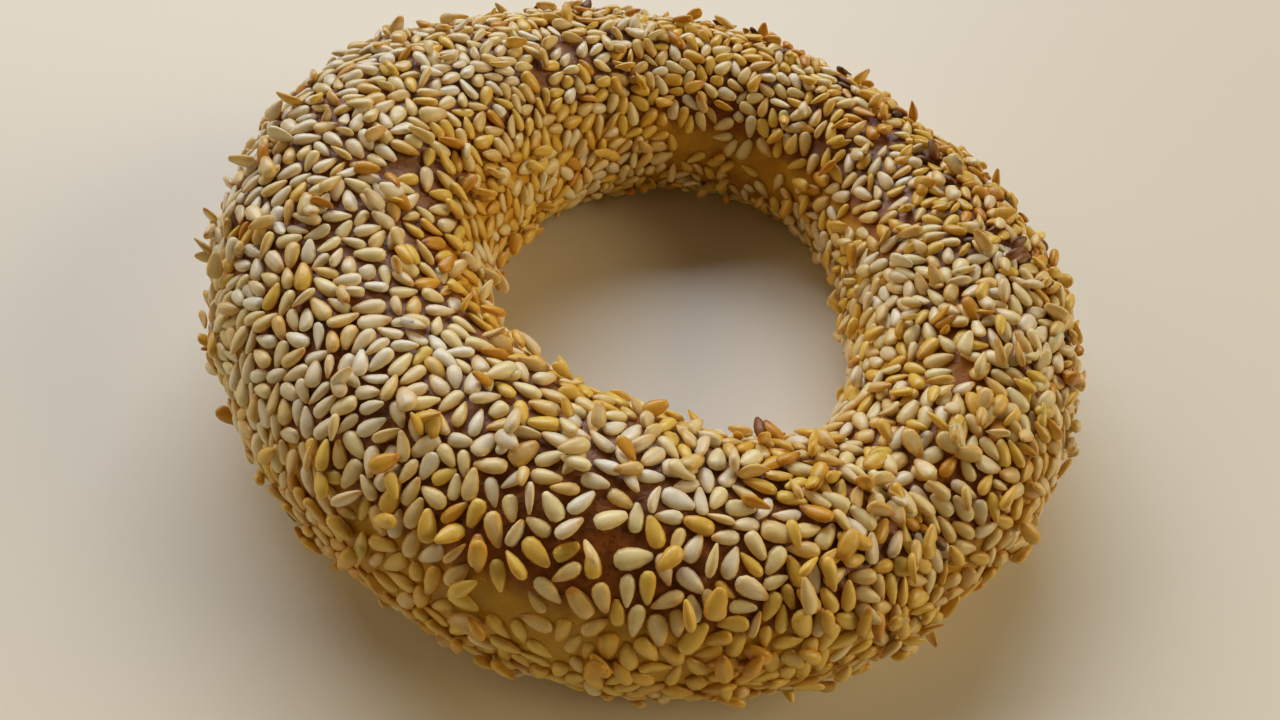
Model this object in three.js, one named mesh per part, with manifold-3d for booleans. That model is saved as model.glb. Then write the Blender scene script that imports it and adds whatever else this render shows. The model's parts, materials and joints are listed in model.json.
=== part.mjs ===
// A simit: a rope of dough closed into an uneven ring, rolled in sesame and baked on a flat tray.
// The ring and the seeds that stick to it are one solid. Millimetres, +Z up: the ring lies flat,
// and the origin is on the surface under it, below the middle of the crust's outline.
import * as THREE from "three";
import { mergeVertices } from "three/addons/utils/BufferGeometryUtils.js";
import Module from "manifold-3d";

// ---- Driving dimensions ----
const ROPE_CENTRE_RADIUS = 38; // from the middle of the hole to the middle of the rope
const ROPE_HALF_WIDTH = 13.4; // of bare crust
const ROPE_HEIGHT_SHARE = 0.9; // the rope is a little lower than it is wide
const BASE_SINK = 1.3; // how far the baking tray flattens the rope's underside

// The rope isn't even: each wave swells it by `size` mm, `count` times round, with a crest at `crest` degrees.
const BEND_WAVES = [
  { count: 2, size: 0.95, crest: 92 },
  { count: 3, size: 0.9, crest: 73 },
];
const WIDTH_WAVES = [
  { count: 1, size: 1.9, crest: 183 },
  { count: 2, size: 0.75, crest: -7 },
  { count: 3, size: 0.45, crest: 19 },
  { count: 4, size: 0.4, crest: -6 },
];
// The two ends of the rope are pressed together at the join, which leaves a shallow waist.
const JOIN = { at: 309, halfSpan: 7, depth: 0.9 };

const SEED = { length: 3.15, width: 1.9, height: 1.0, taper: 0.3, sides: 6, sizeSpread: 0.12 };
const LEANING_SHARE = 0.3; // of the seeds: they are stuck by their blunt end, with the tip in the air
const LEAN_MOST = 50; // degrees
const LEAN_LIFT = 0.7; // how much of its rise a leaning seed keeps above the crust
const SEED_COUNT = 314; // spread over the whole rope; the ones that the tray would crush are left out
const SEED_SINK = 0.12; // how far a seed's widest outline sits under the crust
const SEED_TRAY_GAP = 0.35; // the least height of a seed above the tray
const SEED_DRAW = 21; // start of the random draw for the seeds' turns and sizes

const AROUND_RING = 66; // faces round the ring
const AROUND_ROPE = 18; // faces round the rope
const OUTLINE_STEPS = 720; // steps that find the middle of the outline

const CRUST = { color: 0x9a5f2e, roughness: 0.6, metalness: 0 };

// ---- The rope ----
const rad = THREE.MathUtils.degToRad;

const waves = (list, turn) =>
  list.reduce((sum, w) => sum + w.size * Math.cos(w.count * (turn - rad(w.crest))), 0);

// How near a turn is to the join, from 0 to 1.
function joinNearness(turn) {
  const away = Math.atan2(Math.sin(turn - rad(JOIN.at)), Math.cos(turn - rad(JOIN.at)));
  return Math.exp(-((away / rad(JOIN.halfSpan)) ** 2));
}

const ropeRadius = (turn) => ROPE_CENTRE_RADIUS + waves(BEND_WAVES, turn);

const ropeHalfWidth = (turn) =>
  ROPE_HALF_WIDTH + waves(WIDTH_WAVES, turn) - JOIN.depth * joinNearness(turn);

// A point of the crust: `turn` goes round the ring, and `roll` round the rope, from its outer side over its top.
function crustPoint(turn, roll, middle) {
  const halfWidth = ropeHalfWidth(turn);
  const halfHeight = halfWidth * ROPE_HEIGHT_SHARE;
  const radius = ropeRadius(turn) + halfWidth * Math.cos(roll);
  const height = halfHeight - BASE_SINK + halfHeight * Math.sin(roll);
  return new THREE.Vector3(
    radius * Math.cos(turn) - middle.x,
    radius * Math.sin(turn) - middle.y,
    Math.max(0, height),
  );
}

// The middle of the crust's outline seen from above.
function outlineMiddle() {
  const box = new THREE.Box3();
  const zero = new THREE.Vector3();
  for (let i = 0; i < OUTLINE_STEPS; i++) {
    box.expandByPoint(crustPoint((2 * Math.PI * i) / OUTLINE_STEPS, 0, zero));
  }
  return box.getCenter(new THREE.Vector3());
}

// The crust's outward direction, from two small steps along it.
function crustNormal(turn, roll, middle) {
  const step = 1e-3;
  const at = (a, b) => crustPoint(turn + a, roll + b, middle);
  const along = at(step, 0).sub(at(-step, 0));
  const over = at(0, step).sub(at(0, -step));
  return along.cross(over).normalize();
}

function ropeGeometry(middle) {
  const positions = [];
  const faces = [];
  for (let i = 0; i < AROUND_RING; i++) {
    for (let j = 0; j < AROUND_ROPE; j++) {
      const turn = (2 * Math.PI * i) / AROUND_RING;
      const roll = (2 * Math.PI * j) / AROUND_ROPE;
      positions.push(...crustPoint(turn, roll, middle).toArray());
      const here = i * AROUND_ROPE + j;
      const over = i * AROUND_ROPE + ((j + 1) % AROUND_ROPE);
      const onward = (AROUND_ROPE * (i + 1)) % (AROUND_ROPE * AROUND_RING);
      faces.push(here, onward + j, over);
      faces.push(over, onward + j, onward + ((j + 1) % AROUND_ROPE));
    }
  }
  return new THREE.BufferGeometry()
    .setAttribute("position", new THREE.Float32BufferAttribute(positions, 3))
    .setIndex(faces);
}

// ---- The seeds ----
// A sesame seed lying on its flat side: a tear-shaped outline, two points along its crest and one below.
function seedGeometry() {
  const { length, width, height, taper, sides } = SEED;
  const positions = [];
  for (let k = 0; k < sides; k++) {
    const angle = (2 * Math.PI * (k + 0.5)) / sides;
    const narrowing = 1 - taper * Math.cos(angle);
    positions.push((length / 2) * Math.cos(angle), (width / 2) * Math.sin(angle) * narrowing, 0);
  }
  const [tip, back, under] = [sides, sides + 1, sides + 2];
  positions.push(length * 0.12, 0, height * 0.8, -length * 0.2, 0, height * 0.85, 0, 0, -height);
  const crestOf = (k) => (Math.cos((2 * Math.PI * (k + 0.5)) / sides) > 0.1 ? tip : back);
  const faces = [];
  for (let k = 0; k < sides; k++) {
    const next = (k + 1) % sides;
    faces.push(k, next, crestOf(k), next, k, under);
    if (crestOf(k) !== crestOf(next)) faces.push(next, crestOf(next), crestOf(k));
  }
  return new THREE.BufferGeometry()
    .setAttribute("position", new THREE.Float32BufferAttribute(positions, 3))
    .setIndex(faces);
}

// A repeatable random draw from 0 to 1.
function randomDraw(start) {
  let state = start >>> 0;
  return () => {
    state = (state + 0x6d2b79f5) >>> 0;
    let mixed = Math.imul(state ^ (state >>> 15), 1 | state);
    mixed = (mixed + Math.imul(mixed ^ (mixed >>> 7), 61 | mixed)) ^ mixed;
    return ((mixed ^ (mixed >>> 14)) >>> 0) / 4294967296;
  };
}

// The roll at which `share` of the rope's surface is passed, as its outer side has more than its inner side.
function rollAtShare(share) {
  let roll = 2 * Math.PI * share;
  for (let i = 0; i < 6; i++) {
    const passed = (roll + (ROPE_HALF_WIDTH / ROPE_CENTRE_RADIUS) * Math.sin(roll)) / (2 * Math.PI);
    roll -= 2 * Math.PI * (passed - share);
  }
  return roll;
}

// Where one seed lies: its length turned by `turned` on the crust, and its tip up by `lean`.
function seedMatrix(at, normal, turn, turned, lean, size) {
  const along = new THREE.Vector3(-Math.sin(turn), Math.cos(turn), 0);
  along.projectOnPlane(normal).normalize().applyAxisAngle(normal, turned);
  const across = normal.clone().cross(along);
  along.applyAxisAngle(across, -lean);
  const lift = (LEAN_LIFT * size * SEED.length * Math.sin(lean)) / 2;
  return new THREE.Matrix4()
    .makeBasis(along, across, along.clone().cross(across))
    .setPosition(at.clone().addScaledVector(normal, lift - SEED_SINK))
    .scale(new THREE.Vector3(size, size, size));
}

// The seeds' shapes in place. An R2 sequence spreads them evenly over the rope.
function seedGeometries(middle) {
  const plastic = 1.3247179572447;
  const draw = randomDraw(SEED_DRAW);
  const seed = seedGeometry();
  const placed = [];
  for (let i = 0; i < SEED_COUNT; i++) {
    const turn = 2 * Math.PI * ((i / plastic) % 1);
    const roll = rollAtShare((i / plastic ** 2) % 1);
    const turned = 2 * Math.PI * draw();
    const size = 1 + SEED.sizeSpread * draw();
    const lean = draw() < LEANING_SHARE ? rad(LEAN_MOST * draw()) : 0;
    const at = crustPoint(turn, roll, middle);
    const normal = crustNormal(turn, roll, middle);
    const geometry = seed.clone().applyMatrix4(seedMatrix(at, normal, turn, turned, lean, size));
    geometry.computeBoundingBox();
    if (geometry.boundingBox.min.z > SEED_TRAY_GAP) placed.push(geometry);
  }
  return placed;
}

// ---- Joining them into one solid ----
const wasm = await Module();
wasm.setup();

function toSolid(geometry) {
  const bare = geometry.clone();
  bare.deleteAttribute("normal");
  bare.deleteAttribute("uv");
  const merged = mergeVertices(bare, 1e-4);
  return new wasm.Manifold(
    new wasm.Mesh({
      numProp: 3,
      vertProperties: merged.attributes.position.array,
      triVerts: new Uint32Array(merged.index.array),
    }),
  );
}

function toGeometry(solid) {
  const mesh = solid.getMesh();
  const geometry = new THREE.BufferGeometry()
    .setAttribute("position", new THREE.BufferAttribute(new Float32Array(mesh.vertProperties), 3))
    .setIndex(new THREE.BufferAttribute(new Uint32Array(mesh.triVerts), 1));
  geometry.computeVertexNormals();
  return geometry;
}

function simitGeometry() {
  const middle = outlineMiddle();
  const seeds = seedGeometries(middle).map(toSolid);
  return toGeometry(wasm.Manifold.union([toSolid(ropeGeometry(middle)), ...seeds]));
}

const simit = new THREE.Mesh(simitGeometry(), new THREE.MeshStandardMaterial(CRUST));
simit.name = "simit";

const group = new THREE.Group();
group.add(simit);

export default group;
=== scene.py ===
"""The looks of a simit: a hand-rolled ring of bread under a loose coat of sesame seeds, on a plain floor.

Sizes are in metres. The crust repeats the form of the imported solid, and each seed lies on it by a rule.
"""

import json
import logging
import math
from dataclasses import dataclass, field
from enum import Enum
from typing import Any

import bpy
import numpy as np
from mathutils import Matrix, Vector
from mathutils.bvhtree import BVHTree

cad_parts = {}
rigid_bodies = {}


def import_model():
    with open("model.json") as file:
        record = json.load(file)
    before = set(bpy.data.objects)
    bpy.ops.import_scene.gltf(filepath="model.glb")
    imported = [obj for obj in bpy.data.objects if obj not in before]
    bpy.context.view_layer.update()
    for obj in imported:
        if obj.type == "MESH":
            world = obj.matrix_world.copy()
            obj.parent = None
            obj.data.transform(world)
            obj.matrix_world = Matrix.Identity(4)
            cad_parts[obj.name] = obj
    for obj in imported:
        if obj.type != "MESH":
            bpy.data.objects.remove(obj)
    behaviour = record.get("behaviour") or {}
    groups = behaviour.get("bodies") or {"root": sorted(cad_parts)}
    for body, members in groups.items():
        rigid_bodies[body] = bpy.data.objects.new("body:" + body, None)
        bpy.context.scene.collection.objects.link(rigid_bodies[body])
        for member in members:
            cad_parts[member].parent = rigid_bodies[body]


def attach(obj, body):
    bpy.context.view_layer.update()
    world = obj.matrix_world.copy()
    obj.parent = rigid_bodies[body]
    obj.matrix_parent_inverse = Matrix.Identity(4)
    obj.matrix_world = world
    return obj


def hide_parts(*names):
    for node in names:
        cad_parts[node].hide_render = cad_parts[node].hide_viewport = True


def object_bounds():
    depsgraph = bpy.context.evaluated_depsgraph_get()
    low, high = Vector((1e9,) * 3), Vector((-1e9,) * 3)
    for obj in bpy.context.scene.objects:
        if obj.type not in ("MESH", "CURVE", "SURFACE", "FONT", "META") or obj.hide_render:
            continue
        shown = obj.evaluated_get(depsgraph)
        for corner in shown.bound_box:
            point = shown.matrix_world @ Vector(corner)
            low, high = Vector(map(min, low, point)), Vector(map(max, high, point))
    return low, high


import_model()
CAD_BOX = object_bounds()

MM = 0.001
FULL_TURN = 2 * math.pi
BODY = "root"
NODE = "simit"

log = logging.getLogger("simit")

Colour = tuple[float, float, float]


# ---- Small helpers ----


def smoothstep(low: float, high: float, value: np.ndarray) -> np.ndarray:
    """Eases from 0 at `low` to 1 at `high`."""
    share = np.clip((value - low) / (high - low), 0, 1)
    return share * share * (3 - 2 * share)


def angle_between(a: np.ndarray, b: float) -> np.ndarray:
    """The signed angle from `b` to `a` in degrees, from -180 to 180."""
    return (np.asarray(a) - b + 180) % 360 - 180


def rgba(colour: Colour) -> tuple[float, float, float, float]:
    """A display colour from 0 to 255 as the linear colour that shaders take."""
    shares = [c / 255 for c in colour]
    linear = [s / 12.92 if s <= 0.04045 else ((s + 0.055) / 1.055) ** 2.4 for s in shares]
    return (*linear, 1.0)


class NodeBench:
    """Lays nodes into one node tree, so that a tree can be written as nested calls."""

    def __init__(self, tree: bpy.types.NodeTree) -> None:
        """Starts on an empty tree.

        Args:
            tree: The node tree that the nodes go into.
        """
        self.tree = tree

    def add(self, kind: str, settings: dict[str, Any] | None = None, **inputs: Any) -> bpy.types.Node:
        """Adds a node and fills its inputs.

        Args:
            kind: Blender's name for the node's type.
            settings: The node's own properties by name.
            inputs: Values or sockets by socket identifier, with _ for a blank.

        Returns:
            The new node.
        """
        node = self.tree.nodes.new(kind)
        for name, value in (settings or {}).items():
            setattr(node, name, value)
        by_name = {s.identifier.replace(" ", "_"): s for s in node.inputs}
        for name, value in inputs.items():
            self.fill(by_name[name], value)
        return node

    def fill(self, socket: bpy.types.NodeSocket, value: Any) -> None:
        """Links a socket to another, or sets its value."""
        if isinstance(value, bpy.types.NodeSocket):
            self.tree.links.new(value, socket)
        else:
            socket.default_value = value

    def math(self, operation: str, *values: Any) -> bpy.types.NodeSocket:
        """A Math node's result."""
        node = self.add("ShaderNodeMath", {"operation": operation})
        for socket, value in zip(node.inputs, values):
            self.fill(socket, value)
        return node.outputs[0]

    def vector_math(self, operation: str, *values: Any) -> bpy.types.NodeSocket:
        """A Vector Math node's vector result. A number as the second value of SCALE is the scale."""
        node = self.add("ShaderNodeVectorMath", {"operation": operation})
        sockets = [node.inputs[0], node.inputs["Scale"]] if operation == "SCALE" else node.inputs
        for socket, value in zip(sockets, values):
            self.fill(socket, value)
        return node.outputs[0]

    def noise(self, place: Any, size: float, detail: float = 2.0, roughness: float = 0.5) -> bpy.types.NodeSocket:
        """Noise from 0 to 1 whose lumps are about `size` metres."""
        node = self.add(
            "ShaderNodeTexNoise", Vector=place, Scale=1 / size, Detail=detail, Roughness=roughness
        )
        return node.outputs["Fac"]

    def ramp(self, value: Any, low: float, high: float) -> bpy.types.NodeSocket:
        """Eases from 0 at `low` to 1 at `high`."""
        node = self.add("ShaderNodeMapRange", {"interpolation_type": "SMOOTHSTEP"})
        for name, number in (("Value", value), ("From Min", low), ("From Max", high)):
            self.fill(node.inputs[name], number)
        return node.outputs["Result"]

    def mix(self, share: Any, first: Any, second: Any, blend: str = "MIX") -> bpy.types.NodeSocket:
        """Mixes two colours."""
        node = self.add("ShaderNodeMix", {"data_type": "RGBA", "blend_type": blend})
        self.fill(node.inputs["Factor_Float" if "Factor_Float" in node.inputs else 0], share)
        self.fill(next(s for s in node.inputs if s.identifier == "A_Color"), first)
        self.fill(next(s for s in node.inputs if s.identifier == "B_Color"), second)
        return next(s for s in node.outputs if s.identifier == "Result_Color")


class ShapeTree(NodeBench):
    """A Geometry Nodes tree with named inputs for its sizes, which is run once and leaves a plain mesh."""

    def __init__(self, name: str) -> None:
        """Makes an empty tree.

        Args:
            name: What the tree makes.
        """
        super().__init__(bpy.data.node_groups.new(name, "GeometryNodeTree"))
        self.tree.is_modifier = True
        self.tree.interface.new_socket("Geometry", in_out="INPUT", socket_type="NodeSocketGeometry")
        self.tree.interface.new_socket("Geometry", in_out="OUTPUT", socket_type="NodeSocketGeometry")
        self.given = self.tree.nodes.new("NodeGroupInput")
        self.values: dict[str, Any] = {}

    @property
    def points(self) -> bpy.types.NodeSocket:
        """The geometry that comes in."""
        return self.given.outputs["Geometry"]

    def size(self, name: str, value: float | int | bpy.types.ID, kind: str = "Float") -> bpy.types.NodeSocket:
        """Adds a named input.

        Args:
            name: The input's name.
            value: The value that it gets when the tree is run.
            kind: Blender's name for the socket's type.

        Returns:
            The socket that holds the value in the tree.
        """
        item = self.tree.interface.new_socket(name, in_out="INPUT", socket_type=f"NodeSocket{kind}")
        self.values[item.identifier] = value
        return self.given.outputs[name]

    def attribute(self, name: str, kind: str) -> bpy.types.NodeSocket:
        """A named attribute of the geometry."""
        return self.add("GeometryNodeInputNamedAttribute", {"data_type": kind}, Name=name).outputs[0]

    def store(self, shape: Any, name: str, value: Any) -> bpy.types.NodeSocket:
        """Keeps a number for each point of a shape under a name."""
        node = self.add(
            "GeometryNodeStoreNamedAttribute", {"domain": "POINT"}, Geometry=shape, Name=name, Value=value
        )
        return node.outputs[0]

    def run(self, shape: bpy.types.NodeSocket, finish: bpy.types.Material, start: bpy.types.Mesh, name: str) -> bpy.types.Object:
        """Closes the tree, runs it on a mesh and keeps the result as a plain mesh.

        Args:
            shape: The socket that holds the finished geometry.
            finish: The material that the result gets.
            start: The mesh that the tree starts from.
            name: The name of the piece.

        Returns:
            The piece, at the origin, with its place in its mesh.
        """
        realized = self.add("GeometryNodeRealizeInstances", Geometry=shape).outputs[0]
        dressed = self.add("GeometryNodeSetMaterial", Geometry=realized, Material=finish).outputs[0]
        end = self.tree.nodes.new("NodeGroupOutput")
        self.tree.links.new(dressed, end.inputs["Geometry"])
        maker = bpy.data.objects.new(f"{name}_maker", start)
        bpy.context.scene.collection.objects.link(maker)
        modifier = maker.modifiers.new("shape", "NODES")
        modifier.node_group = self.tree
        for identifier, value in self.values.items():
            modifier[identifier] = value
        view = bpy.context.evaluated_depsgraph_get()
        mesh = bpy.data.meshes.new_from_object(maker.evaluated_get(view), depsgraph=view)
        maker.modifiers.remove(modifier)
        bpy.data.objects.remove(maker)
        mesh.name = name
        piece = bpy.data.objects.new(name, mesh)
        bpy.context.scene.collection.objects.link(piece)
        return piece


# ---- The form of the rope ----


@dataclass(frozen=True)
class Wave:
    """A swell of the rope: `count` times round the ring, with a crest of `size` at `crest` degrees."""

    count: int
    size: float
    crest: float


@dataclass(frozen=True)
class RopeForm:
    """The uneven rope of dough, closed into a ring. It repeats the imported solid's own sizes."""

    centre_radius: float = 38 * MM
    half_width: float = 13.4 * MM
    height_share: float = 0.9
    base_sink: float = 1.3 * MM
    base_clearance: float = 0.3 * MM
    join_at: float = 309
    join_half_span: float = 7
    join_depth: float = 0.9 * MM
    bends: tuple[Wave, ...] = (Wave(2, 0.95 * MM, 92), Wave(3, 0.9 * MM, 73))
    swells: tuple[Wave, ...] = (
        Wave(1, 1.9 * MM, 183),
        Wave(2, 0.75 * MM, -7),
        Wave(3, 0.45 * MM, 19),
        Wave(4, 0.4 * MM, -6),
    )

    @staticmethod
    def _sum(waves: tuple[Wave, ...], turn: np.ndarray) -> np.ndarray:
        """The height of several waves together at a turn in radians."""
        return sum(w.size * np.cos(w.count * (turn - math.radians(w.crest))) for w in waves)

    def join_nearness(self, turn: np.ndarray) -> np.ndarray:
        """From 0 to 1, how near a turn is to the pressed join of the rope's two ends."""
        return np.exp(-((angle_between(np.degrees(turn), self.join_at) / self.join_half_span) ** 2))

    def radius_at(self, turn: np.ndarray) -> np.ndarray:
        """From the middle of the hole to the middle of the rope."""
        return self.centre_radius + self._sum(self.bends, turn)

    def half_width_at(self, turn: np.ndarray) -> np.ndarray:
        """Half the width of the bare crust."""
        return self.half_width + self._sum(self.swells, turn) - self.join_depth * self.join_nearness(turn)

    def middle(self) -> tuple[float, float]:
        """The middle of the crust's outline seen from above, which is over the origin."""
        turn = np.linspace(0, FULL_TURN, 720, endpoint=False)
        reach = self.radius_at(turn) + self.half_width_at(turn)
        x, y = reach * np.cos(turn), reach * np.sin(turn)
        return (x.min() + x.max()) / 2, (y.min() + y.max()) / 2

    def points(self, turn: np.ndarray, roll: np.ndarray) -> np.ndarray:
        """Points of the smooth crust.

        Args:
            turn: Angles round the ring in radians, from +X.
            roll: Angles round the rope in radians, from its outer side over its top.

        Returns:
            An array with x, y and z on its last axis.
        """
        half_width = self.half_width_at(turn)
        half_height = half_width * self.height_share
        reach = self.radius_at(turn) + half_width * np.cos(roll)
        height = half_height - self.base_sink + half_height * np.sin(roll)
        x, y = self.middle()
        place = (reach * np.cos(turn) - x, reach * np.sin(turn) - y, np.maximum(height, self.base_clearance))
        return np.stack(place, axis=-1)

    def slopes(self, turn: np.ndarray, roll: np.ndarray) -> tuple[np.ndarray, np.ndarray]:
        """How far a point moves for a radian of turn and for a radian of roll."""
        step = 1e-4
        along = (self.points(turn + step, roll) - self.points(turn - step, roll)) / (2 * step)
        over = (self.points(turn, roll + step) - self.points(turn, roll - step)) / (2 * step)
        return along, over


# ---- How the oven coloured it, and where light is painted into the colour ----


@dataclass(frozen=True)
class Oven:
    """Where the ring browned, and where painted sheen, shade and light go. Angles are in degrees: `turn` round the
    ring, `roll` round the rope.
    """

    crown: float = 88
    brown_half_span: float = 32
    blend: float = 34
    hot_side: float = 62
    hot_half_span: float = 62
    hot_reach: float = 16
    painted_light_side: float = 332
    painted_light_half_span: float = 16

    def hotness(self, turn: np.ndarray) -> np.ndarray:
        """From 0 to 1, how near a turn is to the side of the oven that scorched it."""
        return np.exp(-((angle_between(turn, self.hot_side) / self.hot_half_span) ** 2))

    def browning(self, turn: np.ndarray, roll: np.ndarray) -> np.ndarray:
        """From 0 on dough that stayed golden to 1 on a brown crust, with painted shade on the hot side's inner wall and
        painted light on the right side.
        """
        away = np.abs(angle_between(roll, self.crown))
        reach = self.brown_half_span + self.hot_reach * self.hotness(turn)
        # The hot side keeps some browning all round, which also darkens its inner wall as painted shade.
        brown = np.maximum(1 - smoothstep(0, self.blend, away - reach), 0.26 * self.hotness(turn))
        # Painted light: the crust on the right side is drawn paler, where the light falls on it most strongly.
        pale = np.exp(-((angle_between(turn, self.painted_light_side) / self.painted_light_half_span) ** 2))
        return brown * (1 - 0.55 * pale)

    def painted_sheen(self, roll: np.ndarray) -> np.ndarray:
        """From 0 to 1, how much painted sheen, a mauve reflection of the window light, lies on the brown crust, which
        is most on the crown of the rope.
        """
        return np.exp(-((angle_between(roll, 111) / 21) ** 2))

    def ridge(self, turn: np.ndarray, roll: np.ndarray) -> np.ndarray:
        """From 0 to 1, where seeds charred: the outer shoulder of the hot side."""
        shoulder = np.exp(-((angle_between(roll, 54) / 29) ** 2))
        return self.hotness(turn) * shoulder


# ---- Finishes ----


def attribute(bench: NodeBench, name: str) -> bpy.types.NodeSocket:
    """A number that the piece's mesh keeps for each of its points."""
    return bench.add("ShaderNodeAttribute", {"attribute_name": name}).outputs["Fac"]


class SkinGroup(Enum):
    """The shader node groups that several finishes share."""

    MOTTLE = "mottled_skin"

    def tree(self) -> bpy.types.NodeTree:
        """The group's node tree, which is built on first use.

        Returns:
            A tree that takes two colours, a share and the size of the mottling, and gives a colour and a mask.
        """
        known = bpy.data.node_groups.get(self.value)
        if known:
            return known
        tree = bpy.data.node_groups.new(self.value, "ShaderNodeTree")
        faces = tree.interface
        for name, kind in (
            ("Light", "Color"),
            ("Dark", "Color"),
            ("Share", "Float"),
            ("Lumps", "Float"),
            ("Unevenness", "Float"),
        ):
            faces.new_socket(name, in_out="INPUT", socket_type=f"NodeSocket{kind}")
        faces.new_socket("Colour", in_out="OUTPUT", socket_type="NodeSocketColor")
        faces.new_socket("Mask", in_out="OUTPUT", socket_type="NodeSocketFloat")
        bench = NodeBench(tree)
        given, end = tree.nodes.new("NodeGroupInput"), tree.nodes.new("NodeGroupOutput")
        place = bench.add("ShaderNodeTexCoord").outputs["Object"]
        lumps = bench.add("ShaderNodeTexNoise", Vector=place, Scale=given.outputs["Lumps"], Detail=3.0)
        swing = bench.math("SUBTRACT", lumps.outputs["Fac"], 0.5)
        shift = bench.math("MULTIPLY", swing, given.outputs["Unevenness"])
        mask = bench.ramp(bench.math("ADD", given.outputs["Share"], shift), 0.0, 1.0)
        colour = bench.mix(mask, given.outputs["Light"], given.outputs["Dark"])
        tree.links.new(colour, end.inputs["Colour"])
        tree.links.new(mask, end.inputs["Mask"])
        return tree

    def place(self, bench: NodeBench, **inputs: Any) -> bpy.types.Node:
        """Puts the group into a material and fills its inputs."""
        node = bench.add("ShaderNodeGroup", {"node_tree": self.tree()})
        for name, value in inputs.items():
            bench.fill(node.inputs[name], value)
        return node


def new_material(name: str) -> tuple[bpy.types.Material, NodeBench, bpy.types.Node]:
    """A material with only its Principled shader and output.

    Args:
        name: The material's name.

    Returns:
        The material, a bench on its tree, and the Principled node.
    """
    material = bpy.data.materials.new(name)
    material.use_nodes = True
    material.node_tree.nodes.clear()
    bench = NodeBench(material.node_tree)
    shader = bench.add("ShaderNodeBsdfPrincipled")
    bench.add("ShaderNodeOutputMaterial", Surface=shader.outputs[0])
    return material, bench, shader


@dataclass(frozen=True)
class CrustFinish:
    """Baked dough: golden and matt low down, red-brown on its shoulders, and brown with a satin skin on top, with a
    painted sheen on the crown.
    """

    golden: Colour = (198, 147, 20)
    straw: Colour = (215, 168, 38)
    shoulder: Colour = (156, 92, 16)
    brown: Colour = (144, 82, 20)
    umber: Colour = (104, 54, 14)
    painted_sheen: Colour = (158, 122, 98)
    scorched: Colour = (84, 46, 20)
    roughness_low: float = 0.56
    roughness_top: float = 0.42

    def material(self) -> bpy.types.Material:
        """Builds the material, which reads the mesh's browning, scorch and crown, the mask of the painted sheen."""
        material, bench, shader = new_material("baked_crust")
        place = bench.add("ShaderNodeTexCoord").outputs["Object"]
        browning, scorch = attribute(bench, "browning"), attribute(bench, "scorch")
        patchy = bench.math("SUBTRACT", bench.noise(place, 7 * MM, 4.0, 0.6), 0.5)
        baked = bench.math("ADD", browning, bench.math("MULTIPLY", patchy, 0.7))
        dough = SkinGroup.MOTTLE.place(
            bench, Light=rgba(self.straw), Dark=rgba(self.golden), Share=0.6, Lumps=1 / (4 * MM), Unevenness=1.6
        )
        shoulder = bench.mix(bench.ramp(baked, 0.1, 0.55), dough.outputs["Colour"], rgba(self.shoulder))
        top = SkinGroup.MOTTLE.place(
            bench,
            Light=rgba(self.brown),
            Dark=rgba(self.scorched),
            Share=scorch,
            Lumps=1 / (3 * MM),
            Unevenness=0.9,
        )
        speckle = bench.ramp(bench.noise(place, 0.5 * MM, 3.0, 0.6), 0.42, 0.64)
        speckled = bench.mix(bench.math("MULTIPLY", speckle, 0.7), top.outputs["Colour"], rgba(self.umber))
        # Painted sheen: mauve patches on the crown stand in for the window light's reflection on the satin crust.
        sheen_patches = bench.ramp(bench.noise(place, 0.7 * MM, 3.0, 0.6), 0.3, 0.62)
        sheen_share = bench.math("MULTIPLY", bench.math("MULTIPLY", sheen_patches, attribute(bench, "crown")), 0.85)
        crown = bench.mix(sheen_share, speckled, rgba(self.painted_sheen))
        colour = bench.mix(bench.ramp(baked, 0.5, 1.0), shoulder, crown)
        bench.fill(shader.inputs["Base Color"], colour)
        satin = bench.ramp(baked, 0.3, 0.9)
        span = self.roughness_top - self.roughness_low
        rough = bench.math("ADD", bench.math("MULTIPLY", satin, span), self.roughness_low)
        grain = bench.math("MULTIPLY", bench.noise(place, 0.9 * MM, 3.0, 0.6), 0.16)
        bench.fill(shader.inputs["Roughness"], bench.math("ADD", rough, bench.math("SUBTRACT", grain, 0.08)))
        wrinkles = bench.noise(place, 1.1 * MM, 3.0, 0.55)
        grains = bench.math("MULTIPLY", bench.noise(place, 0.3 * MM, 2.0, 0.6), 0.4)
        height = bench.math("ADD", wrinkles, grains)
        bump = bench.add("ShaderNodeBump", Strength=0.9, Distance=0.24 * MM, Height=height)
        bench.fill(shader.inputs["Normal"], bump.outputs[0])
        shader.inputs["Specular IOR Level"].default_value = 0.42
        shader.inputs["Subsurface Weight"].default_value = 0.1
        shader.inputs["Subsurface Radius"].default_value = (1.2, 1.0, 0.5)
        shader.inputs["Subsurface Scale"].default_value = MM
        return material


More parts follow.
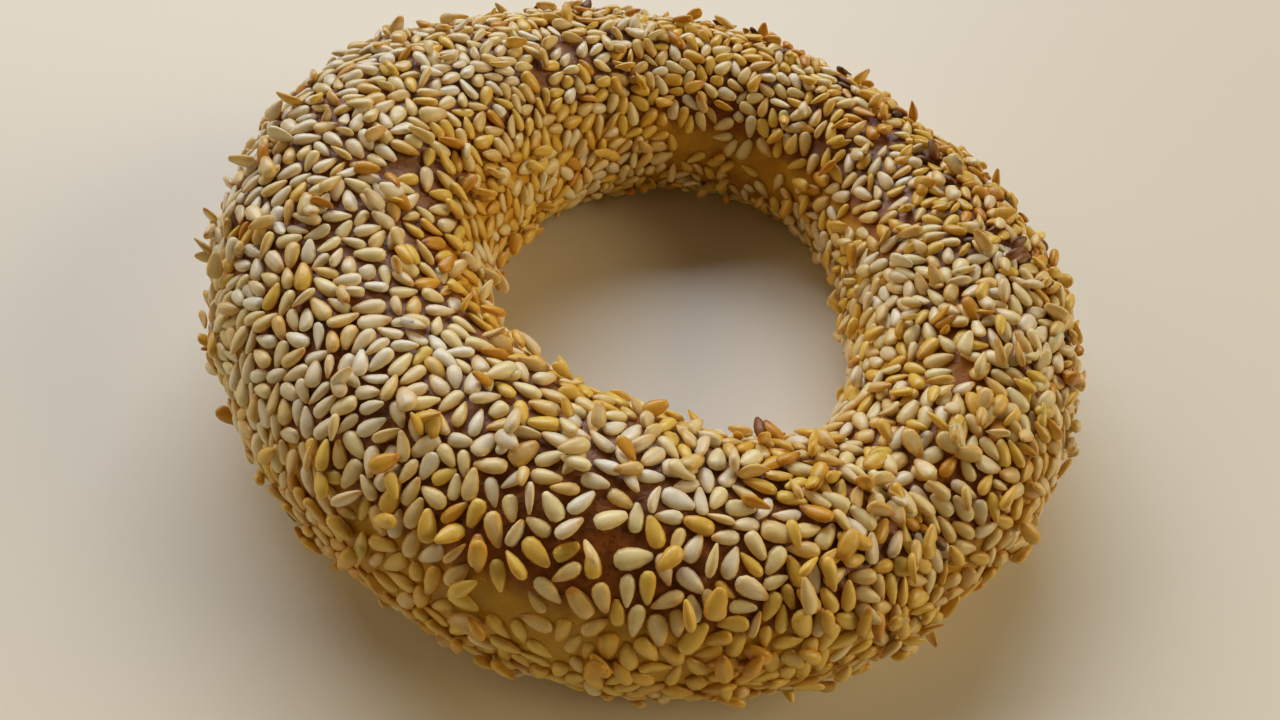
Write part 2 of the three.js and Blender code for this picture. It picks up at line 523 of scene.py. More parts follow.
@dataclass(frozen=True)
class SeedFinish:
    """The skin of one kind of sesame seed: waxy, with a darker point where it was joined to its pod, and a golden rim
    painted along its thin edges for light shining through them.
    """

    pale: Colour
    deep: Colour
    point: Colour
    point_share: float
    roughness: float = 0.4
    rim_share: float = 0.45

    def material(self, name: str) -> bpy.types.Material:
        """Builds the material, which reads each seed's tone and how far along the seed a spot is.

        Args:
            name: The material's name.

        Returns:
            The new material.
        """
        material, bench, shader = new_material(name)
        place = bench.add("ShaderNodeTexCoord").outputs["Object"]
        tone, along, rim = (attribute(bench, name) for name in ("tone", "along", "rim"))
        # Painted glow: the thin edges of each seed are drawn golden, standing in for light shining through them.
        edge = bench.math("MULTIPLY", bench.math("POWER", rim, 1.3), self.rim_share)
        body = SkinGroup.MOTTLE.place(
            bench,
            Light=rgba(self.pale),
            Dark=rgba(self.deep),
            Share=bench.math("ADD", bench.math("MULTIPLY", tone, 1 - self.rim_share), edge),
            Lumps=1 / (1.1 * MM),
            Unevenness=0.5,
        )
        spotty = bench.math("MULTIPLY", bench.noise(place, 0.8 * MM, 2.0), 0.4)
        tip = bench.ramp(bench.math("ADD", along, bench.math("SUBTRACT", spotty, 0.2)), 0.66, 1.0)
        tip_share = bench.math("MULTIPLY", tip, bench.math("MULTIPLY", tone, self.point_share))
        colour = bench.mix(tip_share, body.outputs["Colour"], rgba(self.point))
        bench.fill(shader.inputs["Base Color"], colour)
        grain = bench.math("MULTIPLY", bench.noise(place, 0.6 * MM, 2.0), 0.2)
        bench.fill(shader.inputs["Roughness"], bench.math("ADD", grain, self.roughness - 0.1))
        pores = bench.math("MULTIPLY", bench.noise(place, 0.2 * MM, 2.0, 0.6), 0.3)
        dents = bench.math("ADD", bench.noise(place, 0.7 * MM, 2.0, 0.5), pores)
        bump = bench.add("ShaderNodeBump", Strength=0.35, Distance=0.12 * MM, Height=dents)
        bench.fill(shader.inputs["Normal"], bump.outputs[0])
        shader.inputs["Specular IOR Level"].default_value = 0.5
        shader.inputs["Subsurface Weight"].default_value = 0.4
        shader.inputs["Subsurface Radius"].default_value = (0.8, 0.68, 0.3)
        shader.inputs["Subsurface Scale"].default_value = MM
        return material


class SeedKind(Enum):
    """The kinds of seed on the ring, from palest to darkest, each with its finish."""

    IVORY = SeedFinish((245, 240, 220), (232, 207, 154), (208, 154, 58), 0.9, 0.33)
    STRAW = SeedFinish((243, 228, 176), (222, 180, 88), (196, 132, 34), 1.0, 0.33)
    GOLDEN = SeedFinish((238, 205, 98), (215, 160, 44), (182, 115, 20), 1.0, 0.33)
    TOASTED = SeedFinish((223, 170, 56), (197, 133, 24), (150, 86, 12), 1.0, 0.36)
    CHARRED = SeedFinish((146, 88, 24), (62, 34, 12), (30, 16, 8), 1.0, 0.44)

    @property
    def piece(self) -> str:
        """The name of the piece that holds the seeds of this kind."""
        return f"{self.name.lower()}_seeds"

    @property
    def slot(self) -> str:
        """The record's slot for this kind."""
        return "toasted_seeds" if self in (SeedKind.TOASTED, SeedKind.CHARRED) else "seeds"


# ---- The crust ----


@dataclass
class Crust:
    """The ring of bread itself, grown by a node tree from the rope's named sizes."""

    form: RopeForm
    oven: Oven
    finish: CrustFinish = field(default_factory=CrustFinish)
    around_ring: int = 560
    around_rope: int = 150
    dent_size: float = 11 * MM
    dent_depth: float = 0.9 * MM
    wrinkle_size: float = 2.6 * MM
    wrinkle_depth: float = 0.16 * MM

    def _waves(self, tree: ShapeTree, name: str, waves: tuple[Wave, ...], turn: Any) -> Any:
        """The sum of several waves in the node tree, each with its size as a named input."""
        total = 0.0
        for wave in waves:
            size = tree.size(f"{name} x{wave.count}", wave.size)
            phase = tree.math("SUBTRACT", turn, math.radians(wave.crest))
            swell = tree.math("MULTIPLY", tree.math("COSINE", tree.math("MULTIPLY", phase, wave.count)), size)
            total = tree.math("ADD", total, swell)
        return total

    def _join(self, tree: ShapeTree, turn: Any) -> Any:
        """How deep the waist at the join is, at each turn."""
        depth = tree.size("Join depth", self.form.join_depth)
        span = tree.size("Join half span", math.radians(self.form.join_half_span))
        away = tree.math("SUBTRACT", turn, math.radians(self.form.join_at))
        away = tree.math("WRAP", away, math.pi, -math.pi)
        squared = tree.math("POWER", tree.math("ABSOLUTE", tree.math("DIVIDE", away, span)), 2.0)
        return tree.math("MULTIPLY", depth, tree.math("EXPONENT", tree.math("MULTIPLY", squared, -1.0)))

    def _relief(self, tree: ShapeTree, shape: Any) -> Any:
        """Presses shallow dents and fine wrinkles into the crust."""
        place = tree.add("GeometryNodeInputPosition").outputs[0]
        normal = tree.add("GeometryNodeInputNormal").outputs[0]
        height = 0.0
        for name, size, depth in (
            ("Dent depth", self.dent_size, self.dent_depth),
            ("Wrinkle depth", self.wrinkle_size, self.wrinkle_depth),
        ):
            swing = tree.math("SUBTRACT", tree.noise(place, size), 0.5)
            height = tree.math("ADD", height, tree.math("MULTIPLY", swing, tree.size(name, depth)))
        offset = tree.vector_math("SCALE", normal, height)
        return tree.add("GeometryNodeSetPosition", Geometry=shape, Offset=offset).outputs[0]

    def build(self) -> bpy.types.Object:
        """Makes the crust.

        Returns:
            The crust as a closed mesh that keeps each point's browning, scorch and crown.
        """
        form, tree = self.form, ShapeTree("rope_of_dough")
        ring = tree.add(
            "GeometryNodeCurvePrimitiveCircle", Resolution=tree.size("Around ring", self.around_ring, "Int"), Radius=1.0
        )
        rope = tree.add(
            "GeometryNodeCurvePrimitiveCircle", Resolution=tree.size("Around rope", self.around_rope, "Int"), Radius=0.3
        )
        shape = tree.add(
            "GeometryNodeCurveToMesh", Curve=ring.outputs["Curve"], Profile_Curve=rope.outputs["Curve"]
        ).outputs[0]
        parts = tree.add("ShaderNodeSeparateXYZ", Vector=tree.add("GeometryNodeInputPosition").outputs[0]).outputs
        turn = tree.math("ARCTAN2", parts["Y"], parts["X"])
        flat = tree.math("POWER", tree.math("ADD", tree.math("POWER", parts["X"], 2.0), tree.math("POWER", parts["Y"], 2.0)), 0.5)
        roll = tree.math("ARCTAN2", parts["Z"], tree.math("SUBTRACT", flat, 1.0))
        shape = tree.store(tree.store(shape, "turn", turn), "roll", roll)
        turn, roll = tree.attribute("turn", "FLOAT"), tree.attribute("roll", "FLOAT")
        radius = tree.math("ADD", tree.size("Centre radius", form.centre_radius), self._waves(tree, "Bend", form.bends, turn))
        half_width = tree.math("ADD", tree.size("Half width", form.half_width), self._waves(tree, "Swell", form.swells, turn))
        half_width = tree.math("SUBTRACT", half_width, self._join(tree, turn))
        half_height = tree.math("MULTIPLY", half_width, tree.size("Height share", form.height_share))
        reach = tree.math("ADD", radius, tree.math("MULTIPLY", half_width, tree.math("COSINE", roll)))
        rise = tree.math("MULTIPLY", half_height, tree.math("SINE", roll))
        height = tree.math("ADD", tree.math("SUBTRACT", half_height, tree.size("Base sink", form.base_sink)), rise)
        x, y = form.middle()
        place = tree.add(
            "ShaderNodeCombineXYZ",
            X=tree.math("SUBTRACT", tree.math("MULTIPLY", reach, tree.math("COSINE", turn)), x),
            Y=tree.math("SUBTRACT", tree.math("MULTIPLY", reach, tree.math("SINE", turn)), y),
            Z=height,
        ).outputs[0]
        shape = tree.add("GeometryNodeSetPosition", Geometry=shape, Position=place).outputs[0]
        shape = self._relief(tree, shape)
        clearance = tree.size("Base clearance", form.base_clearance)
        parts = tree.add("ShaderNodeSeparateXYZ", Vector=tree.add("GeometryNodeInputPosition").outputs[0]).outputs
        level = tree.add(
            "ShaderNodeCombineXYZ", X=parts["X"], Y=parts["Y"], Z=tree.math("MAXIMUM", parts["Z"], clearance)
        ).outputs[0]
        shape = tree.add("GeometryNodeSetPosition", Geometry=shape, Position=level).outputs[0]
        shape = tree.add("GeometryNodeSetShadeSmooth", Geometry=shape).outputs[0]
        piece = tree.run(shape, self.finish.material(), bpy.data.meshes.new("start"), "crust")
        self._colour(piece.data)
        return piece

    def _colour(self, mesh: bpy.types.Mesh) -> None:
        """Keeps the oven's work and the mask of the painted sheen on the mesh, in place of the angles they were worked
        out from.
        """
        count = len(mesh.vertices)
        turn, roll = np.empty(count, np.float32), np.empty(count, np.float32)
        mesh.attributes["turn"].data.foreach_get("value", turn)
        mesh.attributes["roll"].data.foreach_get("value", roll)
        turn, roll = np.degrees(turn), np.degrees(roll)
        keep_numbers(
            mesh,
            browning=self.oven.browning(turn, roll),
            scorch=self.oven.ridge(turn, roll),
            # crown: where the painted sheen lies.
            crown=self.oven.painted_sheen(roll),
        )
        for name in ("turn", "roll"):
            mesh.attributes.remove(mesh.attributes[name])


def keep_numbers(mesh: bpy.types.Mesh, **numbers: np.ndarray) -> None:
    """Stores one number for each point of a mesh under each name."""
    for name, values in numbers.items():
        layer = mesh.attributes.new(name, "FLOAT", "POINT")
        layer.data.foreach_set("value", np.ascontiguousarray(values, dtype=np.float32))


# ---- The seeds ----


@dataclass(frozen=True)
class SeedShape:
    """One shape of sesame seed, as shares of the usual length, width and height."""

    name: str
    width: float = 1.0
    height: float = 1.0
    bend: float = 0.0
    curl: float = 0.0
    dimple: float = 0.0
    taper: float = 1.0

    sides: int = 8
    # Shares of the length from the blunt end, and how wide the seed is there.
    steps: tuple[float, ...] = (0.03, 0.15, 0.37, 0.63, 0.85, 0.968)
    widths: tuple[float, ...] = (0.5, 0.88, 1.0, 0.85, 0.54, 0.31)

    def points(self) -> np.ndarray:
        """The seed's points, ring by ring from the blunt end, then its two ends.

        Returns:
            An array with x, y and z on its last axis, one unit long, wide and high, with the tip towards +X.
        """
        steps = np.array(self.steps)
        angle = FULL_TURN * np.arange(self.sides) / self.sides
        girth = 0.5 * np.array(self.widths)[:, None] ** self.taper
        x = np.repeat(steps[:, None] - 0.5, self.sides, axis=1)
        y = girth * np.cos(angle) * self.width
        z = girth * np.sin(angle) * self.height
        pressed = np.exp(-(((steps - 0.42) / 0.22) ** 2))[:, None] * np.clip(np.sin(angle), 0, 1) ** 3
        z = z - self.dimple * pressed
        points = np.concatenate([np.stack([x, y, z], axis=-1).reshape(-1, 3), [[-0.5, 0, 0], [0.5, 0, 0]]])
        points[:, 1] += self.bend * (points[:, 0] * 2) ** 2
        points[:, 2] += self.curl * (points[:, 0] * 2) ** 2
        return points

    def mesh(self) -> bpy.types.Mesh:
        """Makes the seed.

        Returns:
            A closed mesh whose points keep how far along the seed they are, and how near its sharp rim.
        """
        rings, sides, points = len(self.steps), self.sides, self.points()
        faces = []
        for k in range(sides):
            onward = (k + 1) % sides
            faces += [
                (i * sides + k, i * sides + onward, (i + 1) * sides + onward, (i + 1) * sides + k)
                for i in range(rings - 1)
            ]
            faces.append((onward, k, rings * sides))
            faces.append(((rings - 1) * sides + k, (rings - 1) * sides + onward, rings * sides + 1))
        mesh = bpy.data.meshes.new(self.name)
        mesh.from_pydata(points.tolist(), [], faces)
        mesh.shade_smooth()
        # rim: how near the thin edge a point is, where the finish paints its golden glow.
        rim = np.tile(np.abs(np.cos(FULL_TURN * np.arange(sides) / sides)), rings)
        keep_numbers(mesh, along=points[:, 0] + 0.5, rim=np.append(rim, [1, 1]))
        return mesh


SEED_SHAPES = (
    SeedShape("plump_seed"),
    SeedShape("slim_seed", width=0.88, height=0.98, taper=1.2),
    SeedShape("round_seed", width=1.1, height=1.1, taper=0.75),
    SeedShape("bent_seed", width=0.95, bend=0.06),
    SeedShape("curled_seed", width=0.96, height=0.85, curl=0.2),
    SeedShape("dimpled_seed", width=1.05, height=0.95, dimple=0.3),
    SeedShape("shrunken_seed", width=0.8, height=0.66, bend=-0.06, curl=0.12, dimple=0.2, taper=1.2),
    SeedShape("broken_seed", width=1.1, height=0.95, taper=0.62),
)
SHAPE_SHARES = (0.34, 0.2, 0.15, 0.12, 0.06, 0.07, 0.04, 0.02)


@dataclass(frozen=True)
class SingleSeed:
    """A seed that stands out from the rest. Angles in degrees; `dark` runs from 0, ivory, to 1, charred."""

    turn: float
    roll: float
    spin: float
    dark: float
    raised: float = 0.0


@dataclass
class SeedBed:
    """Seeds as arrays: where each lies on the crust, how it is turned, its size, its elbow room and its raised tip."""

    turn: np.ndarray
    roll: np.ndarray
    spin: np.ndarray
    size: np.ndarray
    shyness: np.ndarray
    raised: np.ndarray

    def __len__(self) -> int:
        """How many seeds there are."""
        return len(self.turn)


@dataclass(frozen=True)
class BareSpot:
    """A place where seeds came off, or never stuck. Angles in degrees, radii along and across the rope."""

    turn: float
    roll: float
    along: float
    across: float


@dataclass
class SeedCoat:
    """The loose coat of sesame: a bed of seeds pressed into the crust and strays that lie on them."""

    form: RopeForm
    oven: Oven
    length: float = 2.92 * MM
    width: float = 1.64 * MM
    height: float = 0.98 * MM
    size_spread: float = 0.09
    bed_count: int = 4120
    stray_count: int = 560
    settle_rounds: int = 80
    elbow_room: float = 0.34
    shyness: tuple[float, float] = (0.8, 1.06)
    press: float = 0.2 * MM
    sinking: float = 0.24 * MM
    rest_share: float = 0.72
    draw: int = 4117
    margin: float = 0.03 * MM
    longest_nudge: float = 0.85 * MM
    edge: float = 0.85 * MM
    bare_spots: tuple[BareSpot, ...] = (
        BareSpot(134, 122, 1.5 * MM, 2.2 * MM),
        BareSpot(186, 112, 1.3 * MM, 1.1 * MM),
        BareSpot(192, 124, 1.3 * MM, 1.2 * MM),
        BareSpot(204, 138, 0.9 * MM, 1.6 * MM),
        BareSpot(240, 26, 1.6 * MM, 1.1 * MM),
        BareSpot(258, 26, 1.6 * MM, 1.2 * MM),
        BareSpot(272, 64, 1.3 * MM, 0.7 * MM),
        BareSpot(260, 82, 0.7 * MM, 0.5 * MM),
        BareSpot(332, 100, 1.4 * MM, 1.4 * MM),
        BareSpot(68, 166, 1.6 * MM, 1.2 * MM),
        BareSpot(92, 180, 1.8 * MM, 1.2 * MM),
        BareSpot(28, 20, 1.8 * MM, 1.5 * MM),
        BareSpot(112, 15, 1.5 * MM, 1.9 * MM),
        BareSpot(155, 340, 1.9 * MM, 1.5 * MM),
    )

    single_seeds: tuple[SingleSeed, ...] = (
        SingleSeed(292, 142, 90, 0.86, 45),
        SingleSeed(294, 138, 120, 0.8, 40),
        SingleSeed(292, 110, 15, 0.74),
        SingleSeed(266, 98, -40, 0.66),
        SingleSeed(284, 86, -25, 0.64),
        SingleSeed(190, 100, 90, 0.62, 15),
        SingleSeed(192, 110, 25, 0.72, 20),
        SingleSeed(196, 114, 40, 0.68),
        SingleSeed(210, 130, 140, 0.74, 20),
        SingleSeed(188, 22, 70, 0.3, 40),
        SingleSeed(240, 72, 155, 0.42, 30),
        SingleSeed(240, 76, 40, 0.5, 15),
        SingleSeed(0, 78, -55, 0.84, 20),
        SingleSeed(4, 72, -55, 0.9, 35),
        SingleSeed(342, 114, -50, 0.58, 25),
    )

    def __post_init__(self) -> None:
        """Starts the random draws."""
        self.random = np.random.default_rng(self.draw)
        # Each seed is felt by its neighbours as three discs along its length: place and radius.
        self.discs = (
            (-0.235 * self.length, 0.44 * self.width),
            (0.03 * self.length, 0.46 * self.width),
            (0.3 * self.length, 0.27 * self.width),
        )

    # -- where seeds stick --

    def thickness(self, turn: np.ndarray, roll: np.ndarray) -> np.ndarray:
        """From 0 to 1, how thickly seeds stick at a place. Angles in degrees."""
        front = np.exp(-((angle_between(turn, 264) / 40) ** 2)) * np.exp(-((angle_between(roll, 42) / 44) ** 2))
        far_wall = np.exp(-((angle_between(turn, 82) / 28) ** 2) - ((angle_between(roll, 174) / 24) ** 2))
        base = np.exp(-((angle_between(roll, 270) / 34) ** 2))
        dough = np.exp(-((angle_between(turn, 256) / 28) ** 2) - ((angle_between(roll, 18) / 22) ** 2))
        crest = np.exp(-((angle_between(turn, 165) / 70) ** 2) - ((angle_between(roll, 104) / 30) ** 2))
        sparse = 0.06 * front + 0.42 * dough + 0.9 * far_wall + 0.45 * base + 0.14 * crest
        return np.clip(1 - sparse, 0.05, 1)

    def leave_bare_spots(self, bed: SeedBed) -> None:
        """Slides seeds out of the bare spots, so that none of them reaches in."""
        for spot in self.bare_spots:
            middle = np.array([math.radians(spot.turn), math.radians(spot.roll)])
            place = self.form.points(*middle)
            along, over = (np.linalg.norm(slope) for slope in self.form.slopes(*middle))
            away = self.form.points(bed.turn, bed.roll) - place
            near = (away**2).sum(1) < (2 * max(spot.along, spot.across) + self.length) ** 2
            gap = np.stack([bed.turn[near], bed.roll[near]], axis=1) - middle
            gap = (gap + math.pi) % FULL_TURN - math.pi
            radii = np.array([(spot.along + self.edge) / along, (spot.across + self.edge) / over])
            depth = np.maximum(np.linalg.norm(gap / radii, axis=1), 0.05)
            out = middle + gap * np.maximum(1, 1 + (1 / depth - 1) * 0.5)[:, None]
            bed.turn[near], bed.roll[near] = out.T

    def scatter(self, count: int, stray: bool) -> SeedBed:
        """Drops seeds on the crust, evenly by area and then by how thickly they stick.

        Args:
            count: How many seeds.
            stray: True for seeds that lie on the bed.

        Returns:
            The seeds, not yet settled.
        """
        found = [np.empty((0, 2))]
        while sum(len(f) for f in found) < count:
            tries = self.random.uniform(0, FULL_TURN, (4 * count, 2))
            along, over = self.form.slopes(tries[:, 0], tries[:, 1])
            area = np.linalg.norm(np.cross(along, over), axis=1)
            turn, roll = np.degrees(tries).T
            chance = area / area.max() * (self.stray_thickness(turn, roll) if stray else self.thickness(turn, roll))
            found.append(tries[self.random.uniform(0, 1, len(tries)) < chance])
        turn, roll = np.concatenate(found)[:count].T
        spin = self.random.uniform(0, FULL_TURN, count)
        size = np.clip(self.random.normal(1, self.size_spread, count), 0.78, 1.2)
        near_side = np.exp(-((angle_between(np.degrees(turn), 258) / 40) ** 2))
        near_side *= np.exp(-((angle_between(np.degrees(roll), 50) / 50) ** 2))
        shyness = self.random.uniform(*self.shyness, count) + 0.1 * near_side
        return SeedBed(turn, roll, self._line_up(turn, roll, spin), size, shyness, np.zeros(count))

    def pick_out(self) -> SeedBed:
        """The seeds that stand out from the rest, in the order of `single_seeds`."""
        angles = np.array([(s.turn, s.roll, s.spin, s.raised) for s in self.single_seeds])
        turn, roll, spin, raised = np.radians(angles).T
        return SeedBed(turn, roll, spin, np.full(len(turn), 0.98), np.ones(len(turn)), raised)

    def stray_thickness(self, turn: np.ndarray, roll: np.ndarray) -> np.ndarray:
        """From 0 to 1, how likely a stray lies at a place. Angles in degrees."""
        cluster = np.exp(-((angle_between(turn, 303) / 13) ** 2) - ((angle_between(roll, 92) / 30) ** 2))
        right = np.exp(-((angle_between(turn, 350) / 45) ** 2) - ((angle_between(roll, 80) / 70) ** 2))
        shoulder = self.oven.ridge(turn, roll)
        left = np.exp(-((angle_between(turn, 195) / 40) ** 2) - ((angle_between(roll, 100) / 40) ** 2))
        share = 0.16 + 0.84 * cluster + 0.5 * right + 0.4 * shoulder + 0.16 * left
        off_base = smoothstep(42, 62, np.abs(angle_between(roll, 270)))
        return np.clip(share, 0, 1) * off_base

    def _line_up(self, turn: np.ndarray, roll: np.ndarray, spin: np.ndarray) -> np.ndarray:
        """Turns seeds low on the near side towards standing upright, as the rolling pin left them."""
        low_front = np.exp(-((angle_between(np.degrees(turn), 268) / 30) ** 2))
        low_front *= np.exp(-((angle_between(np.degrees(roll), 42) / 26) ** 2))
        upright = np.where(np.sin(spin) > 0, math.pi / 2, -math.pi / 2)
        swing = (spin - upright + math.pi) % FULL_TURN - math.pi
        return upright + swing * (1 - 0.72 * low_front)

    # -- settling --

    def _axes(self, bed: SeedBed) -> tuple[np.ndarray, np.ndarray, np.ndarray, np.ndarray]:
        """Each seed's place, the crust's two directions there, and the outward direction."""
        along, over = self.form.slopes(bed.turn, bed.roll)
        normal = np.cross(along, over)
        normal /= np.linalg.norm(normal, axis=1, keepdims=True)
        along = along / np.linalg.norm(along, axis=1, keepdims=True)
        return self.form.points(bed.turn, bed.roll), along, np.cross(normal, along), normal

    def _disc_places(self, bed: SeedBed) -> tuple[np.ndarray, np.ndarray, np.ndarray]:
        """Each seed's disc centres and radii, and its outward direction."""
        place, along, over, normal = self._axes(bed)
        heading = along * np.cos(bed.spin)[:, None] + over * np.sin(bed.spin)[:, None]
        shifts = np.array([d[0] for d in self.discs])
        radii = np.array([d[1] for d in self.discs])
        centres = place[:, None] + heading[:, None] * (shifts * bed.size[:, None])[..., None]
        return centres, radii * bed.size[:, None], normal

    def _neighbours(self, place: np.ndarray, others: np.ndarray, reach: float) -> tuple[np.ndarray, np.ndarray]:
        """Pairs of places, one of each list, that are nearer than `reach`."""
        first, second = [], []
        for start in range(0, len(place), 512):
            gap = place[start : start + 512, None] - others[None]
            i, j = np.nonzero((gap**2).sum(-1) < reach**2)
            first.append(i + start)
            second.append(j)
        return np.concatenate(first), np.concatenate(second)

    def settle(self, bed: SeedBed) -> None:
        """Pushes the seeds of the bed apart until they hardly overlap, as rolling in a tray of seeds does."""
        reach = 1.3 * self.length
        for step in range(self.settle_rounds):
            room = 1 + self.elbow_room * max(0.0, 1 - 1.6 * step / self.settle_rounds)
            if step % 10 == 0:
                place = self.form.points(bed.turn, bed.roll)
                first, second = self._neighbours(place, place, reach)
                ordered = first < second
                first, second = first[ordered], second[ordered]
            centres, radii, normal = self._disc_places(bed)
            radii = radii * bed.shyness[:, None] * room
            gap = centres[first][:, :, None] - centres[second][:, None]
            distance = np.maximum(np.linalg.norm(gap, axis=-1), 1e-6)
            overlap = np.maximum(radii[first][:, :, None] + radii[second][:, None] - distance, 0)
            push = gap / distance[..., None] * overlap[..., None] * 0.5
            move, twist = np.zeros((len(bed), 3)), np.zeros(len(bed))
            middle = self.form.points(bed.turn, bed.roll)
            for seeds, force, arms in (
                (first, push.sum(2), centres[first] - middle[first][:, None]),
                (second, -push.sum(1), centres[second] - middle[second][:, None]),
            ):
                np.add.at(move, seeds, force.sum(1))
                torque = (np.cross(arms, force) * normal[seeds][:, None]).sum((1, 2))
                np.add.at(twist, seeds, torque)
            self._shift(bed, move * 0.55, twist / (0.09 * self.length**2))
            self.leave_bare_spots(bed)

    def _shift(self, bed: SeedBed, move: np.ndarray, twist: np.ndarray) -> None:
        """Slides the seeds along the crust and turns them."""
        longest = 0.35 * MM
        size = np.maximum(np.linalg.norm(move, axis=1, keepdims=True), 1e-9)
        move = move * np.minimum(1, longest / size)
        along, over = self.form.slopes(bed.turn, bed.roll)
        bed.turn = bed.turn + (move * along).sum(1) / (along**2).sum(1)
        bed.roll = bed.roll + (move * over).sum(1) / np.maximum((over**2).sum(1), 1e-8)
        bed.spin = bed.spin + np.clip(twist, -0.2, 0.2)

    # -- lying --

    def lay(self, bed: SeedBed, stray: bool, under: SeedBed) -> dict[str, np.ndarray]:
        """Works out how each seed lies: its centre, its three directions and its shape.

        Args:
            bed: The seeds.
            stray: True for seeds that lie on the bed.
            under: The seeds that they may lie on. Those of one bed lie on the ones that came before them.

        Returns:
            Arrays by name: place, axes, scale, shape, turn and roll.
        """
        count = len(bed)
        shape = self.random.choice(len(SEED_SHAPES), count, p=SHAPE_SHARES)
        low_front = self.low_front(np.degrees(bed.turn), np.degrees(bed.roll))
        rock = np.radians(self.random.normal(0, 11 if not stray else 20, count)) * (1 - 0.5 * low_front)
        pitch = np.radians(self.random.normal(0, 6 if not stray else 12, count)) * (1 - 0.5 * low_front)
        on_edge = self.random.uniform(0, 1, count) < (0.08 if not stray else 0.2) * (1 - 0.8 * low_front)
        rock = np.where(on_edge, np.radians(self.random.uniform(50, 90, count)), rock)
        standing = self.random.uniform(0, 1, count) < (0.012 if not stray else 0.05)
        pitch = np.where(standing, np.radians(self.random.uniform(30, 62, count)), pitch)
        width = self.width * bed.size * self.random.uniform(0.93, 1.07, count)
        height = self.height * bed.size * self.random.uniform(0.88, 1.1, count)
        length = self.length * bed.size * self.random.uniform(0.96, 1.04, count)
        length = np.where(shape == len(SEED_SHAPES) - 1, length * 0.66, length)
        place, along, over, normal = self._axes(bed)
        rise, lean = self._rest_on(bed, under)
        pitch = pitch + lean + bed.raised
        half = 0.5 * np.hypot(height * np.cos(rock), width * np.sin(rock))
        lift = half * np.cos(pitch) + 0.36 * length * np.abs(np.sin(pitch)) + rise
        lift -= self.press * self.random.uniform(0.5, 1.3, count)
        if not stray:
            lift -= self.sinking * (1 - self.oven.browning(np.degrees(bed.turn), np.degrees(bed.roll)))
            lift -= 0.4 * self.sinking * low_front
        heading = along * np.cos(bed.spin)[:, None] + over * np.sin(bed.spin)[:, None]
        side = np.cross(normal, heading)
        tip = heading * np.cos(pitch)[:, None] + normal * np.sin(pitch)[:, None]
        up = np.cross(tip, side)
        across = side * np.cos(rock)[:, None] + up * np.sin(rock)[:, None]
        return {
            "place": place + normal * lift[:, None],
            "axes": np.stack([tip, across, np.cross(tip, across)], axis=-1),
            "scale": np.stack([length, width, height], axis=-1),
            "shape": shape,
            "turn": np.degrees(bed.turn) % 360,
            "roll": np.degrees(bed.roll) % 360,
            "normal": normal,
        }

    def _rest_on(self, bed: SeedBed, under: SeedBed) -> tuple[np.ndarray, np.ndarray]:
        """How high the seeds are lifted by others below them, and how far that tilts them up.

        Args:
            bed: The seeds that lie on others.
            under: The seeds below them, which may be the same ones.

        Returns:
            The lift of each seed's middle, and its lean in radians.
        """
        centres, radii, _ = self._disc_places(bed)
        below, below_radii, _ = self._disc_places(under)
        below, below_radii = below.reshape(-1, 3), below_radii.ravel()
        lifts = []
        for end in range(len(self.discs)):
            upper, disc = self._neighbours(centres[:, end], below, 1.2 * self.width)
            if under is bed:
                older = disc // len(self.discs) < upper
                upper, disc = upper[older], disc[older]
            gap = np.linalg.norm(centres[upper, end] - below[disc], axis=1)
            nearness = np.clip(gap / (radii[upper, end] + below_radii[disc]), 0, 1)
            lift = np.zeros(len(bed))
            np.maximum.at(lift, upper, self.rest_share * self.height * np.sqrt(1 - nearness**2))
            lifts.append(lift)
        blunt, middle, tip = lifts
        lean = np.arctan2(tip - blunt, self.discs[2][0] - self.discs[0][0])
        return np.maximum(0.55 * blunt + 0.45 * tip, middle), lean

    # -- toasting --

    @staticmethod
    def low_front(turn: np.ndarray, roll: np.ndarray) -> np.ndarray:
        """From 0 to 1, how near a place is to the golden dough low on the near side. Angles in degrees."""
        return np.exp(-((angle_between(turn, 262) / 55) ** 2)) * np.exp(-((angle_between(roll, 12) / 30) ** 2))

    def toast(self, turn: np.ndarray, roll: np.ndarray, stray: bool) -> np.ndarray:
        """How dark each seed is, from 0, ivory, to 1, charred, with painted shade low on the near side."""
        count = len(turn)
        inner = smoothstep(105, 150, roll) * (1 - smoothstep(215, 250, roll))
        inner = inner * (1 - np.exp(-((angle_between(turn, 5) / 50) ** 2)))
        inner_left = np.exp(-((angle_between(turn, 188) / 30) ** 2) - ((angle_between(roll, 128) / 24) ** 2))
        right = np.exp(-((angle_between(turn, 335) / 40) ** 2)) * (1 - smoothstep(100, 140, roll))
        left = np.exp(-((angle_between(turn, 195) / 60) ** 2)) * (1 - smoothstep(90, 130, roll))
        low_front = self.low_front(turn, roll)
        cluster = np.exp(-((angle_between(turn, 303) / 18) ** 2) - ((angle_between(roll, 88) / 36) ** 2))
